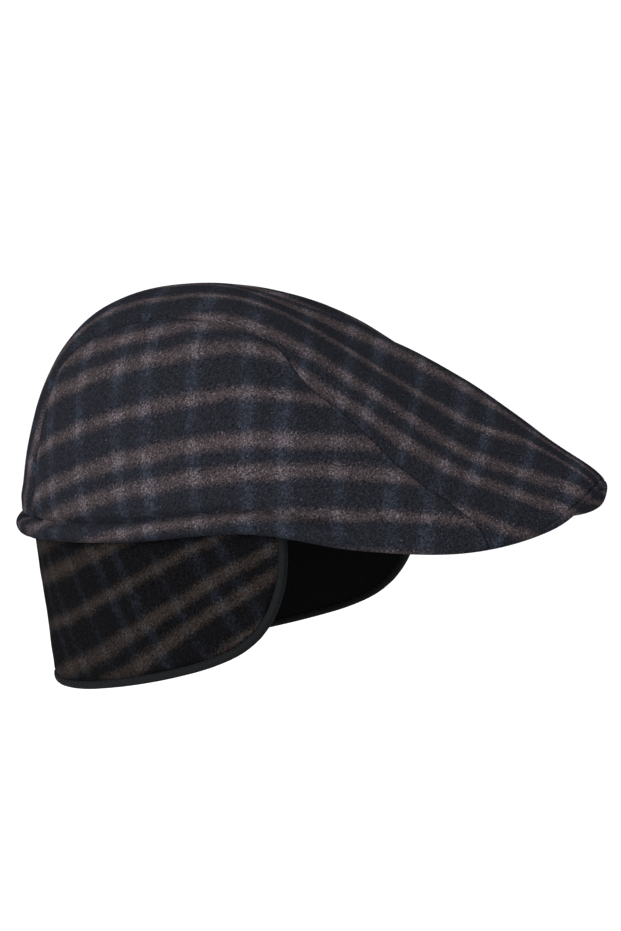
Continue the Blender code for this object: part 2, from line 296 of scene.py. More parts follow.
def hem_wall(angle, up):
    """Thickness of the cloth: doubled within the folded hem."""
    height = up / share_up(angle, HEM_GROOVE_HEIGHT)
    return CLOTH_WALL + (HEM_FOLD_WALL - CLOTH_WALL) * hem_fade(angle) * blend_in(height, 1.5, 0.9)


def seam(row):
    """Angle and share up the profile of a point of the right-hand seam, counted in rows of its table."""
    return Vector((seam_angle_at(row), max(seam_up_at(row), 0.0)))


def seam_side(row):
    """Direction across the right-hand seam, in the cloth, away from the centre panel."""
    step = 0.08
    before = crown_smooth(*seam(max(row - step, 0)))
    after = crown_smooth(*seam(min(row + step, SEAM_ROWS)))
    return (after - before).cross(crown_normal(*seam(row))).normalized()


# The long seam as close points, each with its length from the back hem, to find how near a point of cloth is
SEAM_STEPS = 900
SEAM_POINTS = [crown_smooth(*seam(SEAM_ROWS * step / SEAM_STEPS)) for step in range(SEAM_STEPS + 1)]
SEAM_LENGTHS = [0.0]
for before, after in zip(SEAM_POINTS, SEAM_POINTS[1:]):
    SEAM_LENGTHS.append(SEAM_LENGTHS[-1] + (after - before).length)
seam_tree = KDTree(len(SEAM_POINTS))
for index, point in enumerate(SEAM_POINTS):
    seam_tree.insert(point, index)
seam_tree.balance()
CRISP_ROW = 12.5
CRISP_START = SEAM_LENGTHS[round(SEAM_STEPS * CRISP_ROW / SEAM_ROWS)]


def ripple(place, length, seed=0.0):
    """Even, repeatable unevenness from -1 to 1 with a given length."""
    return noise.noise(Vector((place.x, place.y, place.z)) / length + Vector((seed, seed * 0.7, 0)))


def rounded_in(apart, radius):
    """How far an edge that is rounded to a radius falls away at a distance from it."""
    if apart >= radius:
        return 0.0
    return radius - sqrt(max(radius ** 2 - (radius - max(apart, 0.0)) ** 2, 0.0))


def relief(angle, up):
    """How far the wool's face stands out from the smooth form: hem, seams, puckers and soft folds."""
    place = crown_smooth(angle, up)
    height = up / share_up(angle, 1.0)
    fade = hem_fade(angle)
    run = folded(angle) * METRES_PER_DEGREE
    stitch = 0.5 + 0.5 * cos(2 * pi * run / STITCH_PITCH)
    pucker = ripple(place, PUCKER_LENGTH)
    broad, broad_length = BROAD_WAVE
    fine, fine_length = FINE_WAVE
    out = broad * ripple(place, broad_length, 3.0) + fine * ripple(place, fine_length, 5.0)

    above = height / HEM_GROOVE_HEIGHT
    out += HEM_ROLL * fade * max(sin(pi * min(max(above, 0.0), 1.0)), 0.0) ** 0.7 * (1 + 0.12 * pucker)
    groove = exp(-((height - HEM_GROOVE_HEIGHT) / HEM_GROOVE_WIDTH) ** 2)
    out -= HEM_GROOVE * fade * groove * (1 + 0.25 * pucker + 0.2 * stitch)
    out += 0.0005 * fade * exp(-((height - 2 * HEM_GROOVE_HEIGHT) / 0.004) ** 2) * (1 + 0.9 * pucker)

    _, index, apart = seam_tree.find(Vector((-abs(place.x), place.y, place.z)))
    length = SEAM_LENGTHS[index]
    crisp = blend_in(length, CRISP_START - 0.02, CRISP_START + 0.01)
    out -= rounded_in(apart, SEAM_ROUND * (1 + 0.35 * pucker * (1 - crisp)))
    seam_stitch = 0.5 + 0.5 * cos(2 * pi * length / STITCH_PITCH)
    pull = (1 - crisp) * SEAM_PULL * exp(-(apart / SEAM_PULL_WIDTH) ** 2)
    out -= pull * (0.7 + 0.5 * seam_stitch + 0.5 * pucker)

    out -= rounded_in(height, HEM_EDGE_ROUND * (0.7 + 0.3 * fade))
    turned = front_seam_height(angle)
    if turned > 0:
        shown = blend_in(turned, 0.0005, 0.0018)
        out -= FRONT_SEAM_DEPTH * shown * exp(-((height - turned) / FRONT_SEAM_WIDTH) ** 2)
    return out


def front_seam_height(angle):
    """Height above the rim of the front seam, or 0 where the peak's edge has none."""
    start = FRONT_SEAM["angle"][0]
    return front_seam_at(folded(angle)) if folded(angle) > start else 0.0


def crown_face(angle, up, inside=False):
    """Point of the wool's outer face, with its relief, or of its smooth inner face."""
    smooth = crown_smooth(angle, up)
    out = -hollow_depth(angle, up)
    if inside:
        out -= hem_wall(angle, up)
        height = up / share_up(angle, 1.0)
        out += rounded_in(height, 0.8 * HEM_EDGE_ROUND * (0.3 + 0.7 * hem_fade(angle)))
    else:
        out += relief(angle, up)
    return smooth + crown_normal(angle, up) * out


def side_panel_place(u, v):
    """u runs along the hem from the back to the peak, v from the hem up to the seam, also the back edge."""
    hem = Vector((seam(0).x + (seam(SEAM_ROWS).x - seam(0).x) * u, 0))
    crook = seam(SEAM_CROOK_ROW)
    top_row = SEAM_CROOK_ROW + (SEAM_ROWS - SEAM_CROOK_ROW) * u
    back_row = SEAM_CROOK_ROW * v
    place = (1 - v) * hem + v * seam(top_row) + (1 - u) * (seam(back_row) - (1 - v) * seam(0) - v * crook)
    return place.x, max(place.y, 0.0)


def centre_panel_place(u, v):
    """u runs along the seams from the back hem to the peak, v from the left-hand seam to the right-hand."""
    across, back = on_disk(*seam(u * SEAM_ROWS))
    middle = back + (1 - on_disk(*seam(0))[1]) * (1 - u) ** 3 - (1 + on_disk(*seam(SEAM_ROWS))[1]) * u ** 3
    side = 2 * v - 1
    bulge = middle - back
    if abs(bulge) < 1e-4:
        place = (across * side, middle)
    else:
        radius = (across ** 2 + bulge ** 2) / (2 * bulge)
        rise = copysign(sqrt(radius ** 2 - (across * side) ** 2), radius)
        place = (across * side, middle - radius + rise)
    angle, up = from_disk(*place)
    return angle, max(up, 0.0)


def rim_height(angle):
    return rim_at(folded(angle)) * CROWN_HEIGHT


def flap_place(angle, drop, inward):
    """Point of the flap at a drop below the origin: inside the folded hem above the rim, free below it."""
    above = -drop - rim_height(angle)
    up = share_up(angle, max(above, 0.0))
    side = crown_normal(angle, up)
    base = crown_smooth(angle, up) - side * (hollow_depth(angle, up) + HEM_FOLD_WALL + CLEARANCE + inward)
    hang = max(-above, 0.0)
    side.z = 0
    return base - Vector((0, 0, hang)) - side.normalized() * FLAP_DRAW_IN * hang / FLAP_DROP


def flap_edge(row, inset):
    """Angle and drop of the flap's edge, counted in rows of its table, moved in from it by an inset."""
    step = 0.05
    before, after = max(row - step, 0), min(row + step, FLAP_ROWS)
    angle = flap_angle_at(row)
    metres_per_degree = (crown_smooth(angle + 1, 0) - crown_smooth(angle, 0)).xy.length
    run = Vector((
        (flap_angle_at(after) - flap_angle_at(before)) * metres_per_degree,
        (flap_drop_at(after) - flap_drop_at(before)) * FLAP_DROP,
    )).normalized()
    tuck = (FLAP_TUCK + rim_height(angle)) * max(1 - row / FLAP_CORNER_ROW, 0)
    drop = flap_drop_at(row) * FLAP_DROP - tuck
    return Vector((angle - inset * run.y / metres_per_degree, drop + inset * run.x))


def flap_map(u, v, inset):
    """Four-sided map of the flap onto angle and drop: u from left front edge to right, v downwards."""
    side = 2 * u - 1
    share = abs(side)
    top_corner = flap_edge(0, inset)
    low_corner = flap_edge(FLAP_CORNER_ROW, inset)
    front = flap_edge(v * FLAP_CORNER_ROW, inset)
    rim_drop = rim_height(top_corner.x) - rim_height(top_corner.x * share)
    top = Vector((top_corner.x * share, top_corner.y + rim_drop))
    bottom = flap_edge(FLAP_ROWS - share * (FLAP_ROWS - FLAP_CORNER_ROW), inset)
    place = (1 - v) * top + v * bottom + share * (front - (1 - v) * top_corner - v * low_corner)
    return copysign(place.x, side), place.y


def shares(count, crowd=0.0):
    """Even steps from 0 to 1, or steps that crowd together towards both ends."""
    return [step / count - crowd * sin(2 * pi * step / count) / (2 * pi) for step in range(count + 1)]


def grid(model, columns, rows):
    """Adds a grid to a model, and gives its vertices, each with its column and its row."""
    last_column, last_row = len(columns) - 1, len(rows) - 1
    made = bmesh.ops.create_grid(model, x_segments=last_column, y_segments=last_row, size=1)["verts"]
    placed = []
    for vertex in made:
        column = columns[round((vertex.co.x + 1) / 2 * last_column)]
        row = rows[round((vertex.co.y + 1) / 2 * last_row)]
        placed.append((vertex, column, row))
    return placed


def finished(name, model, finish, nodes=()):
    """Makes a piece of a model, which rides on the cap and stands for its nodes."""
    mesh = bpy.data.meshes.new(name)
    model.to_mesh(mesh)
    model.free()
    piece = bpy.data.objects.new(name, mesh)
    bpy.context.scene.collection.objects.link(piece)
    mesh.materials.clear()
    mesh.materials.append(finish)
    mesh.shade_smooth()
    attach(piece, "root")
    if nodes:
        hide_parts(*nodes)
    return piece


def laid_flat(columns, rows, place):
    """Lays a cloth flat, as it was cut: for each place on it, its place on the flat cloth in metres.

    Returns the flat places as a tree of points and a list, and the area. The plaid is woven on the flat
    cloth, so it follows.
    """
    model = bmesh.new()
    for vertex, column, row in grid(model, columns, rows):
        vertex.co = place(column, row)
    bmesh.ops.remove_doubles(model, verts=model.verts, dist=1e-5)
    model.loops.layers.uv.new("flat")
    mesh = bpy.data.meshes.new("cut_cloth")
    model.to_mesh(mesh)
    model.free()
    cut = bpy.data.objects.new("cut_cloth", mesh)
    bpy.context.scene.collection.objects.link(cut)
    bpy.context.view_layer.objects.active = cut
    cut.select_set(True)
    bpy.ops.object.mode_set(mode="EDIT")
    bpy.ops.mesh.select_all(action="SELECT")
    bpy.ops.uv.unwrap(method="ANGLE_BASED", margin=0)
    bpy.ops.object.mode_set(mode="OBJECT")
    flat = [None] * len(mesh.vertices)
    for loop, spot in zip(mesh.loops, mesh.uv_layers["flat"].data):
        flat[loop.vertex_index] = Vector(spot.uv)
    mesh.calc_loop_triangles()
    real = sum(triangle.area for triangle in mesh.loop_triangles)
    corners = ([flat[vertex] for vertex in triangle.vertices] for triangle in mesh.loop_triangles)
    drawn = sum(area_tri(*spots) for spots in corners)
    tree = KDTree(len(flat))
    for index, vertex in enumerate(mesh.vertices):
        tree.insert(vertex.co, index)
    tree.balance()
    bpy.data.objects.remove(cut)
    bpy.data.meshes.remove(mesh)
    return tree, [spot * sqrt(real / drawn) for spot in flat], real


def on_grain(tree, flat, start, end, above, start_at, turn, spread=1.0):
    """Turns and shifts the flat cloth so that the line from start to end has a given turn from the stripes.

    spread above 1 draws the plaid finer by that much.
    """
    first, last, over = (flat[tree.find(point)[1]] for point in (start, end, above))
    run = (last - first).normalized()
    across = Vector((-run.y, run.x))
    if (over - first).dot(across) < 0:
        across.negate()
    slant = radians(turn)
    along_way = (run * cos(slant) - across * sin(slant)) * spread
    up_way = (run * sin(slant) + across * cos(slant)) * spread
    return [
        Vector(((spot - first).dot(along_way) + start_at[0], (spot - first).dot(up_way) + start_at[1]))
        for spot in flat
    ]


def cloth(name, columns, rows, place, face, finish, nodes, lay):
    """A cloth with a real wall: a grid for its outer face and one for its inner, bridged at the edge."""
    tree, flat = lay
    model = bmesh.new()
    spots = {}
    for inside in (False, True):
        made = grid(model, columns, rows)
        for vertex, column, row in made:
            vertex.co = face(column, row, inside)
            spots[vertex] = flat[tree.find(place(column, row))[1]]
        if inside:
            inner = {around for vertex, _, _ in made for around in vertex.link_faces}
            bmesh.ops.reverse_faces(model, faces=list(inner))
    sheet = model.loops.layers.uv.new("flat")
    for around in model.faces:
        for corner in around.loops:
            corner[sheet].uv = spots[corner.vert]
    spots.clear()
    border = [edge for edge in model.edges if edge.is_boundary]
    rim = bmesh.ops.bridge_loops(model, edges=border)["faces"]
    for around in rim:
        for corner in around.loops:
            beside = [other for other in corner.vert.link_loops if other.face not in rim]
            corner[sheet].uv = beside[0][sheet].uv
    bmesh.ops.remove_doubles(model, verts=model.verts, dist=1e-5)
    bmesh.ops.dissolve_degenerate(model, dist=1e-6, edges=model.edges)
    if model.calc_volume(signed=True) < 0:
        bmesh.ops.reverse_faces(model, faces=model.faces)
    return finished(name, model, finish, nodes)


def mirror_image(piece, name, nodes):
    """Makes the left-hand copy of a right-hand piece."""
    model = bmesh.new()
    model.from_mesh(piece.data)
    bmesh.ops.scale(model, vec=(-1, 1, 1), verts=model.verts)
    bmesh.ops.reverse_faces(model, faces=model.faces)
    return finished(name, model, piece.data.materials[0], nodes)


def linear(shade):
    """Linear colour of an sRGB hex value."""
    parts = [int(shade[start:start + 2], 16) / 255 for start in (1, 3, 5)]
    return (*(part / 12.92 if part <= 0.04045 else ((part + 0.055) / 1.055) ** 2.4 for part in parts), 1.0)


def add_node(tree, kind, settings, inputs):
    """Adds a node with its settings, and sets or links its inputs by name or number."""
    made = tree.nodes.new(kind)
    for name, value in settings.items():
        setattr(made, name, value)
    for socket, value in inputs.items():
        if isinstance(value, bpy.types.NodeSocket):
            tree.links.new(value, made.inputs[socket])
        else:
            made.inputs[socket].default_value = value
    return made


def brushed_plaid_wool(name, ground="#131418", brown="#2c2627", slate="#20242c", cross="#433c40",
                       hair="#4f4a4d"):
    """Melton wool, woven in a plaid, fulled and brushed: a matt nap of short fibres that blurs each stripe's edge.

    The eye sees blue-black with soft brown stripes one way and broken slate ones the other, lighter where they
    cross. The fibres mottle each colour, and a slanting twill shows faintly through the nap.
    """
    wool = bpy.data.materials.new(name)
    wool.use_nodes = True
    tree = wool.node_tree
    shader = tree.nodes["Principled BSDF"]
    place = add_node(tree, "ShaderNodeTexCoord", {}, {}).outputs["Object"]
    flat = add_node(tree, "ShaderNodeUVMap", {"uv_map": "flat"}, {}).outputs["UV"]

    # The weave wanders a little, so that no stripe is ruled
    wander = add_node(tree, "ShaderNodeTexNoise", {}, {"Vector": place, "Scale": 70, "Detail": 2})
    centred = add_node(tree, "ShaderNodeVectorMath", {"operation": "SUBTRACT"},
                       {0: wander.outputs["Color"], 1: (0.5, 0.5, 0.5)})
    moved = add_node(tree, "ShaderNodeVectorMath", {"operation": "MULTIPLY_ADD"},
                     {0: centred.outputs[0], 1: (0.004, 0.004, 0), 2: flat})
    spot = add_node(tree, "ShaderNodeSeparateXYZ", {}, {0: moved.outputs[0]})

    # Fibres of the nap in clumps of 0.7 mm and less, drawn about twice as coarse as real ones so that they show
    fibres = add_node(tree, "ShaderNodeTexNoise", {}, {"Vector": place, "Scale": 1500, "Detail": 3, "Roughness": 0.7})
    # The twill slants 50 degrees from the stripes and shows as short streaks, 0.9 mm wide
    slanted = add_node(tree, "ShaderNodeMapping", {"vector_type": "TEXTURE"},
                       {"Vector": flat, "Rotation": (0, 0, radians(50)), "Scale": (2.0, 1, 1)})
    twill = add_node(tree, "ShaderNodeTexNoise", {},
                     {"Vector": slanted.outputs[0], "Scale": 1100, "Detail": 2, "Roughness": 0.6})
    patches = add_node(tree, "ShaderNodeTexNoise", {}, {"Vector": place, "Scale": 75, "Detail": 3})
    grain = add_node(tree, "ShaderNodeMix", {"data_type": "FLOAT"},
                     {0: 0.35, 2: fibres.outputs["Fac"], 3: twill.outputs["Fac"]})

    shares_of_stripe = []
    for way in ("X", "Y"):
        off_centre = add_node(tree, "ShaderNodeMath", {"operation": "PINGPONG"},
                              {0: spot.outputs[way], 1: PLAID_REPEAT / 2})
        masks = []
        for middle, half_width in ((PAIR_OFF_CENTRE, PAIR_HALF_WIDTH), (PLAID_REPEAT / 2, SINGLE_HALF_WIDTH)):
            apart = add_node(tree, "ShaderNodeMath", {"operation": "SUBTRACT"}, {0: off_centre.outputs[0], 1: middle})
            apart = add_node(tree, "ShaderNodeMath", {"operation": "ABSOLUTE"}, {0: apart.outputs[0]})
            masks.append(add_node(tree, "ShaderNodeMapRange", {},
                                  {0: apart.outputs[0], 1: half_width + 0.0022, 2: half_width - 0.0022}))
        shares_of_stripe.append(add_node(tree, "ShaderNodeMath", {"operation": "MAXIMUM"},
                                         {0: masks[0].outputs[0], 1: masks[1].outputs[0]}).outputs[0])
    slate_share, brown_share = shares_of_stripe

    # A fibre of the stripe's colour shows where the stripe outweighs the nap's own unevenness
    uneven = add_node(tree, "ShaderNodeMath", {"operation": "SUBTRACT"}, {0: 0.5, 1: grain.outputs[0]})
    brown_over = add_node(tree, "ShaderNodeMath", {"operation": "MULTIPLY_ADD"},
                          {0: uneven.outputs[0], 1: 2.2, 2: brown_share})
    brown_cover = add_node(tree, "ShaderNodeMapRange", {"interpolation_type": "SMOOTHSTEP"},
                           {0: brown_over.outputs[0], 1: 0.05, 2: 1.30})
    fading = add_node(tree, "ShaderNodeMapRange", {}, {0: patches.outputs["Fac"], 1: 0.3, 2: 0.7, 3: 0.65, 4: 1.0})
    brown_cover = add_node(tree, "ShaderNodeMath", {"operation": "MULTIPLY"},
                           {0: brown_cover.outputs[0], 1: fading.outputs[0]})
    # The slate yarn is finer, so it is a wash with a few clear fibres, strong in some places and lost in others
    slate_fibres = add_node(tree, "ShaderNodeTexNoise", {},
                            {"Vector": place, "Scale": 620, "Detail": 4, "Roughness": 0.75})
    slate_uneven = add_node(tree, "ShaderNodeMath", {"operation": "SUBTRACT"}, {0: 0.5, 1: slate_fibres.outputs["Fac"]})
    slate_over = add_node(tree, "ShaderNodeMath", {"operation": "MULTIPLY_ADD"},
                          {0: slate_uneven.outputs[0], 1: 3.4, 2: slate_share})
    slate_cover = add_node(tree, "ShaderNodeMapRange", {"interpolation_type": "SMOOTHSTEP"},
                           {0: slate_over.outputs[0], 1: 0.25, 2: 1.70})
    slate_fading = add_node(tree, "ShaderNodeMapRange", {},
                            {0: patches.outputs["Fac"], 1: 0.62, 2: 0.38, 3: 0.25, 4: 1.0})
    slate_cover = add_node(tree, "ShaderNodeMath", {"operation": "MULTIPLY"},
                           {0: slate_cover.outputs[0], 1: slate_fading.outputs[0]})

    brown_mix = add_node(tree, "ShaderNodeMix", {"data_type": "RGBA"},
                         {0: slate_cover.outputs[0], 6: linear(brown), 7: linear(cross)})
    ground_mix = add_node(tree, "ShaderNodeMix", {"data_type": "RGBA"},
                          {0: slate_cover.outputs[0], 6: linear(ground), 7: linear(slate)})
    dyed = add_node(tree, "ShaderNodeMix", {"data_type": "RGBA"},
                    {0: brown_cover.outputs[0], 6: ground_mix.outputs[2], 7: brown_mix.outputs[2]})
    # Fibres lie over each other, so some catch the light and some are in shade
    shaded = add_node(tree, "ShaderNodeMapRange", {}, {0: grain.outputs[0], 1: 0.36, 2: 0.64, 3: 1.80, 4: 0.35})
    napped = add_node(tree, "ShaderNodeMix", {"data_type": "RGBA", "blend_type": "MULTIPLY"},
                      {0: 1.0, 6: dyed.outputs[2], 7: shaded.outputs[0]})
    # Undyed hairs lie here and there, most of them where the two ways of stripe cross
    hairs = add_node(tree, "ShaderNodeTexNoise", {}, {"Vector": place, "Scale": 1300, "Detail": 1})
    crossing = add_node(tree, "ShaderNodeMath", {"operation": "MULTIPLY"}, {0: slate_share, 1: brown_share})
    hair_share = add_node(tree, "ShaderNodeMath", {"operation": "MULTIPLY_ADD"},
                          {0: crossing.outputs[0], 1: 0.09, 2: hairs.outputs["Fac"]})
    hair_share = add_node(tree, "ShaderNodeMath", {"operation": "MULTIPLY_ADD"},
                          {0: brown_share, 1: 0.10, 2: hair_share.outputs[0]})
    light_hairs = add_node(tree, "ShaderNodeMapRange", {}, {0: hair_share.outputs[0], 1: 0.71, 2: 0.84, 3: 0.0, 4: 0.8})
    coloured = add_node(tree, "ShaderNodeMix", {"data_type": "RGBA"},
                        {0: light_hairs.outputs[0], 6: napped.outputs[2], 7: linear(hair)})
    tree.links.new(coloured.outputs[2], shader.inputs["Base Color"])

    felted = add_node(tree, "ShaderNodeTexNoise", {}, {"Vector": place, "Scale": 260, "Detail": 2})
    height = add_node(tree, "ShaderNodeMath", {"operation": "MULTIPLY_ADD"},
                      {0: felted.outputs["Fac"], 1: 1.0, 2: grain.outputs[0]})
    bump = add_node(tree, "ShaderNodeBump", {}, {"Height": height.outputs[0], "Strength": 1.0, "Distance": 0.0008})
    tree.links.new(bump.outputs[0], shader.inputs["Normal"])
    shader.inputs["Roughness"].default_value = 1.0
    shader.inputs["Specular IOR Level"].default_value = 0.0
    shader.inputs["Sheen Weight"].default_value = 0.006
    shader.inputs["Sheen Roughness"].default_value = 0.5
    shader.inputs["Sheen Tint"].default_value = linear("#b9b6ba")
    return wool


def black_fleece(name):
    """Polyester fleece, knitted and brushed: a soft, even black with a faint curl of nap and no stripes."""
    fleece = bpy.data.materials.new(name)
    fleece.use_nodes = True
    tree = fleece.node_tree
    shader = tree.nodes["Principled BSDF"]
    place = add_node(tree, "ShaderNodeTexCoord", {}, {}).outputs["Object"]
    curl = add_node(tree, "ShaderNodeTexNoise", {}, {"Vector": place, "Scale": 700, "Detail": 4, "Roughness": 0.7})
    shade = add_node(tree, "ShaderNodeMix", {"data_type": "RGBA"},
                     {0: curl.outputs["Fac"], 6: linear("#040405"), 7: linear("#0a0a0b")})
    tree.links.new(shade.outputs[2], shader.inputs["Base Color"])
    bump = add_node(tree, "ShaderNodeBump", {}, {"Height": curl.outputs["Fac"], "Strength": 0.7, "Distance": 0.0005})
    tree.links.new(bump.outputs[0], shader.inputs["Normal"])
    shader.inputs["Roughness"].default_value = 1.0
    shader.inputs["Specular IOR Level"].default_value = 0.03
    return fleece


def black_tape(name):
    """Cotton-mix bias tape, plainly woven and cut on the slant: smooth charcoal black with a fine slanting thread."""
    tape = bpy.data.materials.new(name)
    tape.use_nodes = True
    tree = tape.node_tree
    shader = tree.nodes["Principled BSDF"]
    flat = add_node(tree, "ShaderNodeUVMap", {"uv_map": "flat"}, {}).outputs["UV"]
    # Threads of 0.4 mm, drawn about twice as coarse as real ones so that they show
    threads = add_node(tree, "ShaderNodeTexWave", {"bands_direction": "DIAGONAL"},
                       {"Vector": flat, "Scale": 400, "Distortion": 1.5, "Detail": 1, "Detail Scale": 3})
    shade = add_node(tree, "ShaderNodeMix", {"data_type": "RGBA"},
                     {0: threads.outputs["Fac"], 6: linear("#0b0c0d"), 7: linear("#111213")})
    tree.links.new(shade.outputs[2], shader.inputs["Base Color"])
    bump = add_node(tree, "ShaderNodeBump", {}, {"Height": threads.outputs["Fac"], "Strength": 0.2,
                                                 "Distance": 0.0001})
    tree.links.new(bump.outputs[0], shader.inputs["Normal"])
    shader.inputs["Roughness"].default_value = 0.9
    shader.inputs["Specular IOR Level"].default_value = 0.02
    return tape


def sewing_thread(name):
    """Spun polyester thread: matt black, hardly to be told from the tape that it holds."""
    thread = bpy.data.materials.new(name)
    thread.use_nodes = True
    tree = thread.node_tree
    shader = tree.nodes["Principled BSDF"]
    place = add_node(tree, "ShaderNodeTexCoord", {}, {}).outputs["Object"]
    ply = add_node(tree, "ShaderNodeTexNoise", {}, {"Vector": place, "Scale": 4000, "Detail": 1})
    shade = add_node(tree, "ShaderNodeMix", {"data_type": "RGBA"},
                     {0: ply.outputs["Fac"], 6: linear("#060607"), 7: linear("#0f0f11")})
    tree.links.new(shade.outputs[2], shader.inputs["Base Color"])
    shader.inputs["Roughness"].default_value = 0.7
    shader.inputs["Specular IOR Level"].default_value = 0.05
    return thread


wool = brushed_plaid_wool("brushed plaid wool", ground="#131418", brown="#2c2627", slate="#20242c",
                          cross="#433c40", hair="#4f4a4d")
# The photograph shows the flap in deep shade, which even studio light doesn't give, so its wool is drawn darker: a
# shaded copy of the wool, with painted shade in all its dyes
flap_wool_painted_shade = brushed_plaid_wool("brushed plaid wool of the flap", ground="#070708", brown="#1d1917",
                               slate="#101318", cross="#262221", hair="#2a2726")
fleece = black_fleece("black fleece")
tape = black_tape("black bias tape")
thread = sewing_thread("black thread")


def seam_gap(inside):
    """Half of the gap between two panels: open outside, and lapped inside so that no light comes through."""
    return -CLEARANCE / 2 if inside else CLEARANCE / 4


def side_face(u, v, inside):
    angle, up = side_panel_place(u, v)
    point = crown_face(angle, up, inside)
    if u == 0 or v == 1:
        row = SEAM_CROOK_ROW * v if u == 0 else SEAM_CROOK_ROW + (SEAM_ROWS - SEAM_CROOK_ROW) * u
        point += seam_side(row) * seam_gap(inside)
    return point


def centre_face(u, v, inside):
    point = crown_face(*centre_panel_place(u, v), inside)
    if v in (0, 1):
        away = seam_side(u * SEAM_ROWS)
        point -= Vector((away.x * (2 * v - 1), away.y, away.z)) * seam_gap(inside)
    return point


def peak_grain(spot):
    """Plaid of the centre panel at a spot of its flat cloth: along from the back hem, and off its middle."""
    off_middle = abs(spot.y)
    closing = closing_at(spot.x) * blend_in(off_middle, 0.0, 0.016)
    slant = CROSS_SLANT * off_middle * blend_in(spot.x, 0.12, 0.20)
    return Vector((spot.x - CROSS_START - slant, copysign(off_middle + closing, spot.y)))


def flap_grain(spot):
    """Plaid of the flap at a spot of its flat cloth, with the stripes fanned out."""
    along = min(max(spot.x, FLAP_GRAIN["along"][0]), FLAP_GRAIN["along"][-1])
    fan = flap_fan_at(along) * (spot.y - FAN_MIDDLE) / FAN_REACH
    return Vector((spot.x, spot.y + flap_shift_at(along) + fan))


def build_panels():
    side_columns, side_rows = shares(176, 0.6), shares(60, 0.8)
    place = lambda u, v: crown_smooth(*side_panel_place(u, v))
    tree, flat, _ = laid_flat(side_columns, side_rows, place)
    # The hem from above the ear's back to the start of the peak lies 6 degrees off the brown stripes
    flat = on_grain(tree, flat, crown_smooth(60, 0), crown_smooth(120, 0), crown_smooth(90, 0.5),
                    (-0.031, -0.0161), -6.2)
    lay = tree, [Vector((spot.x, side_grain_at(spot.y))) for spot in flat]
    right = cloth("side_panel_right_wool", side_columns, side_rows, place, side_face, wool,
                  ["side_panel_right"], lay)
    mirror_image(right, "side_panel_left_wool", ["side_panel_left"])

    columns, rows = shares(220, 0.85), shares(72, 0.8)
    place = lambda u, v: crown_smooth(*centre_panel_place(u, v))
    tree, flat, _ = laid_flat(columns, rows, place)
    flat = on_grain(tree, flat, crown_smooth(0, 0), crown_smooth(180, 0), crown_smooth(90, 0.7),
                    (0.0, 0.0), 0.0)
    lay = tree, [peak_grain(spot) for spot in flat]
    cloth("centre_panel_wool", columns, rows, place, centre_face, wool, ["centre_panel"], lay)


def under_peak_place(u, v):
    """u runs round the peak from the right side to the left, v from the head opening out to the rim."""
    turn = 2 * u - 1
    angle = 180 + turn * (180 - PEAK_START)
    inward = hollow_depth(angle, 0) + hem_wall(angle, 0) + CLEARANCE
    rim = crown_smooth(angle, 0) - crown_normal(angle, 0) * inward
    x, y = outline(180 + turn * (180 - OPENING_START), front=OPENING_FRONT, half=OPENING_HALF_WIDTH,
                   widest=OPENING_WIDEST_AHEAD)
    root = Vector((x, y, peak_root_at(folded(angle)) * CROWN_HEIGHT))
    sag = Vector((0, 0, 0.0006 * sin(pi * v) * (1 + ripple(root.lerp(rim, v), 0.04, 6.0))))
    return root.lerp(rim, v) - sag


def build_under_peak():
    """The wool under the peak, as one sheet, with its plaid square to the cap."""
    model = bmesh.new()
    for vertex, column, row in grid(model, shares(150), shares(24)):
        vertex.co = under_peak_place(column, row)
    sheet = model.loops.layers.uv.new("flat")
    for around in model.faces:
        for corner in around.loops:
            corner[sheet].uv = (0.012 - corner.vert.co.y, corner.vert.co.x + 0.006)
    bmesh.ops.recalc_face_normals(model, faces=model.faces)
    if sum(around.normal.z * around.calc_area() for around in model.faces) > 0:
        bmesh.ops.reverse_faces(model, faces=model.faces)
    piece = finished("under_peak_wool", model, wool, ["under_peak"])
    wall = piece.modifiers.new("wall", "SOLIDIFY")
    wall.thickness = UNDER_PEAK_WALL
    wall.offset = -1


def flap_face(outer, wall, swell):
    """Places a cloth of the flap, with soft waves and with rounded edges where it swells."""
    inset = 2 * BINDING_RADIUS - 0.0008

    def face(u, v, inside):
        angle, drop = flap_map(u, v, inset)
        point = flap_place(angle, drop, outer + (wall if inside else 0.0))
        if inside:
            return point
        edge = min(v, 1) * FLAP_DROP
        off_low = (1 - v) * FLAP_DROP / FLAP_EDGE_ROUND
        off_front = (1 - abs(2 * u - 1)) * FLAP_HALF_LENGTH / FLAP_EDGE_ROUND
        near_edge = exp(-off_low ** 2) + exp(-off_front ** 2)
        out = crown_normal(angle, 0)
        out.z = 0
        wave = 0.0009 * ripple(point, 0.030, 9.0) * min(edge / 0.02, 1.0)
        wave += 0.00025 * ripple(point, 0.009, 2.0)
        return point + out.normalized() * (swell * (wave - 0.0009 * min(near_edge, 1.0)))

    return face


